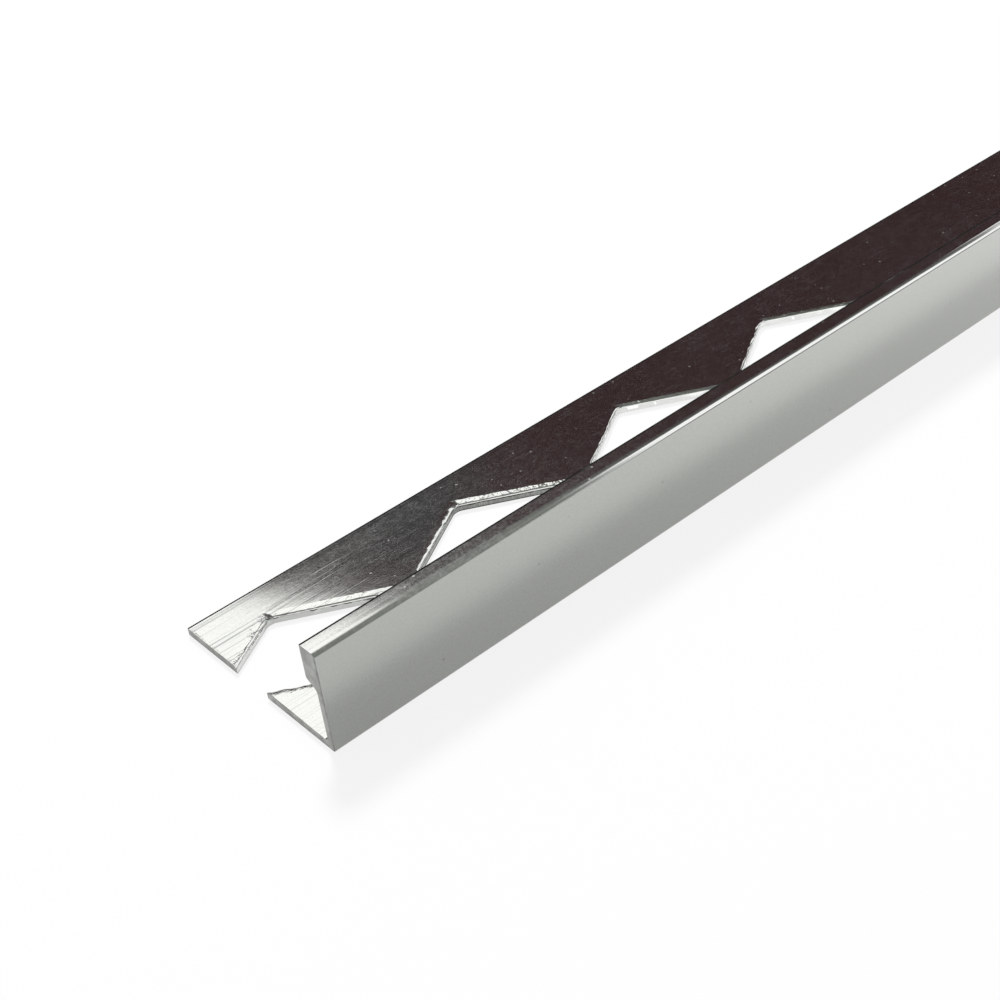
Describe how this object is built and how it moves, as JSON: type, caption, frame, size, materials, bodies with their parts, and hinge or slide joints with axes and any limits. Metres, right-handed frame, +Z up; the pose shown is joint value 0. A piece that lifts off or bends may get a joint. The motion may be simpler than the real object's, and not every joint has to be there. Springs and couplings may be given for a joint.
{
  "type": "tile edge trim",
  "caption": "Square-edge tile trim: an upright wall with a thick polished head on a thin anchoring leg that is punched with groups of diamond-shaped openings.",
  "frame": {"origin": "middle of the trim's bounding box on its underside, which is the plane that the leg is bedded on", "axes": "+X along the stock away from the sawn near end, +Y from the wall's outer face to the leg's tip, +Z up from the leg to the head"},
  "size_m": [1, 0.022, 0.0105],
  "materials": {
    "polished_aluminium": "bright polished and anodised aluminium, mirror-like on the leg and the head's top, satin on the outer face, with fine scratches along the length and bright rolled rims at the punched openings"
  },
  "bodies": {
    "root": {"edge_trim": "polished_aluminium"}
  },
  "joints": []
}
